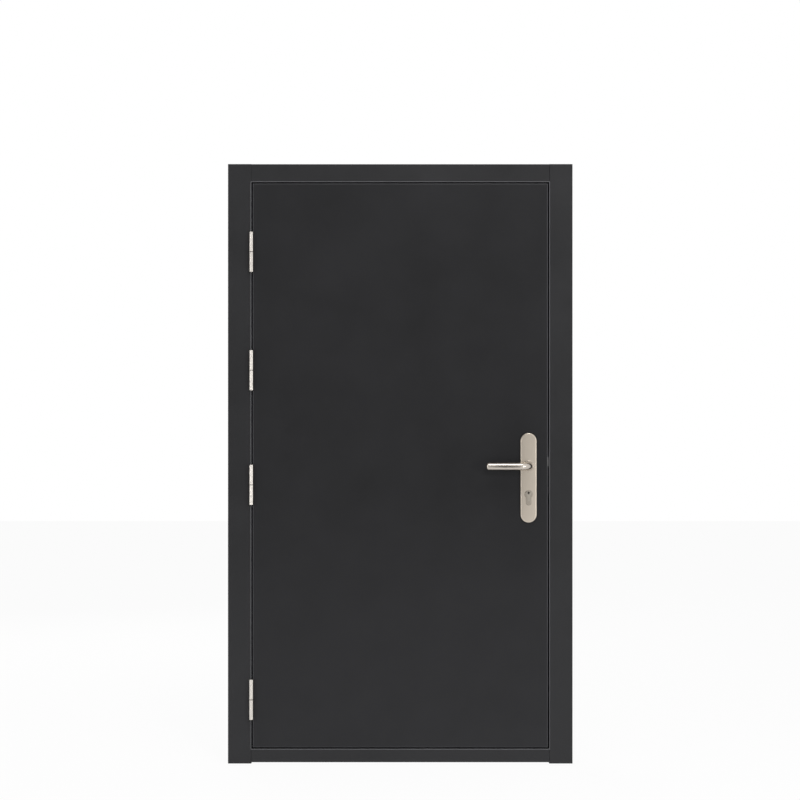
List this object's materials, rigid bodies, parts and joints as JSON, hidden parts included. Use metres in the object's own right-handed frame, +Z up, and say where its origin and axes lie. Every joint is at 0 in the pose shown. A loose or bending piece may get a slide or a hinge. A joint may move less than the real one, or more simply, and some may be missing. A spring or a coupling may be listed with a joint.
{
  "type": "shipping container door",
  "caption": "Black flush steel door leaf hung in a folded steel frame, with lift-off hinges, a lever handle set on long plates and a mortice lock.",
  "frame": {"origin": "bottom centre of the whole door set, on the floor line and in the leaf's middle plane", "axes": "+Z up, the outside faces -Y, +X towards the lock side"},
  "size_m": [1.15, 0.171, 2],
  "materials": {
    "frame_coat": "fine textured powder coat",
    "leaf_coat": "fine textured powder coat",
    "seal_rubber": "matt",
    "core_board": "honeycomb board",
    "hinge_steel": "satin",
    "pin_steel": "ground",
    "washer_brass": "plain",
    "plated_steel": "zinc plated",
    "lock_steel": "satin",
    "handle_steel": "satin",
    "cylinder_nickel": "satin nickel"
  },
  "bodies": {
    "frame": {"frame_jamb_hinge_side": "frame_coat", "frame_jamb_lock_side": "frame_coat", "frame_head": "frame_coat", "frame_sill": "frame_coat", "seal_hinge_side": "seal_rubber", "seal_lock_side": "seal_rubber", "seal_head": "seal_rubber", "seal_sill": "seal_rubber", "hinge_frame_half_1": "hinge_steel", "hinge_frame_half_2": "hinge_steel", "hinge_frame_half_3": "hinge_steel", "hinge_frame_half_4": "hinge_steel", "hinge_pin_1": "pin_steel", "hinge_pin_2": "pin_steel", "hinge_pin_3": "pin_steel", "hinge_pin_4": "pin_steel", "hinge_washer_1": "washer_brass", "hinge_washer_2": "washer_brass", "hinge_washer_3": "washer_brass", "hinge_washer_4": "washer_brass", "frame_hinge_plates": "plated_steel", "hinge_screws_frame": "plated_steel", "strike_plate": "lock_steel", "strike_screws": "plated_steel", "strike_box": "plated_steel"},
    "leaf": {"leaf_outer_skin": "leaf_coat", "leaf_inner_skin": "leaf_coat", "leaf_core": "core_board", "leaf_reinforcements": "plated_steel", "hinge_leaf_half_1": "hinge_steel", "hinge_leaf_half_2": "hinge_steel", "hinge_leaf_half_3": "hinge_steel", "hinge_leaf_half_4": "hinge_steel", "hinge_screws_leaf": "plated_steel", "lock_forend": "lock_steel", "lock_forend_screws": "plated_steel", "lock_case": "plated_steel", "lock_case_cover": "plated_steel", "latch_spring": "pin_steel", "lever_spring": "pin_steel", "cylinder_body": "cylinder_nickel", "cylinder_screw": "plated_steel", "handle_base_outer": "plated_steel", "handle_base_inner": "plated_steel", "handle_plate_outer": "handle_steel", "handle_plate_inner": "handle_steel", "lever_bush_outer": "handle_steel", "lever_bush_inner": "handle_steel", "handle_screws": "plated_steel"},
    "lever": {"lever_outer": "handle_steel", "lever_inner": "handle_steel", "spindle": "pin_steel", "follower": "pin_steel", "lever_grub_screws": "plated_steel"},
    "latch": {"latch_bolt": "lock_steel"},
    "bolt": {"dead_bolt": "lock_steel"},
    "key": {"key_plug_outer": "cylinder_nickel", "key_cam": "cylinder_nickel"},
    "inner_key": {"key_plug_inner": "cylinder_nickel"}
  },
  "joints": [
    {"name": "leaf_swing", "type": "hinge", "parent": "frame", "child": "leaf", "pos_m": [-0.4966, -0.03175, 0], "axis": [0, 0, -1], "range_deg": [0, 170]},
    {"name": "lever_turn", "type": "hinge", "parent": "leaf", "child": "lever", "pos_m": [0.4275, 0, 0.993], "axis": [0, -1, 0], "range_deg": [0, 45], "stiffness_Nm_per_rad": 1.5, "springref_deg": -68.75},
    {"name": "latch_slide", "type": "slide", "parent": "leaf", "child": "latch", "axis": [-1, 0, 0], "range_m": [0, 0.012], "deforming": ["latch_spring"]},
    {"name": "key_turn", "type": "hinge", "parent": "leaf", "child": "key", "pos_m": [0.4275, 0, 0.901], "axis": [0, 1, 0], "range_deg": [0, 360]},
    {"name": "bolt_slide", "type": "slide", "parent": "leaf", "child": "bolt", "axis": [1, 0, 0], "range_m": [0, 0.02]},
    {"name": "inner_key_turn", "type": "hinge", "parent": "leaf", "child": "inner_key", "pos_m": [0.4275, 0, 0.901], "axis": [0, -1, 0], "range_deg": [0, 360]}
  ],
  "couplings": [
    {"joint": "latch_slide", "follows": "lever_turn", "m_per_rad": 0.01527},
    {"joint": "key_turn", "follows": "bolt_slide", "rad_per_m": 314}
  ]
}
